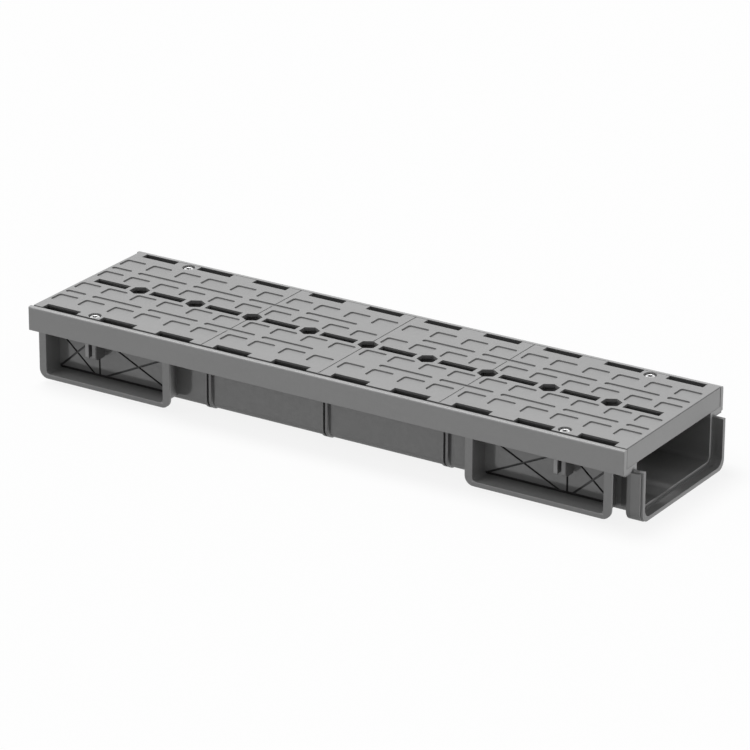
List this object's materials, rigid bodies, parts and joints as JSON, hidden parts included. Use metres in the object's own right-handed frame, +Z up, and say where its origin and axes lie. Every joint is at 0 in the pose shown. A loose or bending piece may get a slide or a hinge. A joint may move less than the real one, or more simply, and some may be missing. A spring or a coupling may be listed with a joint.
{
  "type": "channel drain",
  "caption": "Plastic surface drain channel with a U-shaped trough, socket end, side frames for crossing runs and a bolted slotted grate",
  "frame": {"origin": "centre of the bounding box in X and Y, at its lowest point in Z (underside of the socket sleeve)", "axes": "+X along the run towards the socket end, +Y across the channel, +Z up through the grate"},
  "size_m": [1.0176, 0.282, 0.114],
  "materials": {
    "channel_plastic": "moulded, fine grain",
    "grate_plastic": "moulded, fine grain",
    "bolt_steel": "bright stainless",
    "nut_steel": "plain stainless"
  },
  "bodies": {
    "root": {"channel_body": "channel_plastic", "grate": "grate_plastic", "grate_bolt_1": "bolt_steel", "captive_nut_1": "nut_steel", "grate_bolt_2": "bolt_steel", "captive_nut_2": "nut_steel", "grate_bolt_3": "bolt_steel", "captive_nut_3": "nut_steel", "grate_bolt_4": "bolt_steel", "captive_nut_4": "nut_steel"}
  },
  "joints": []
}
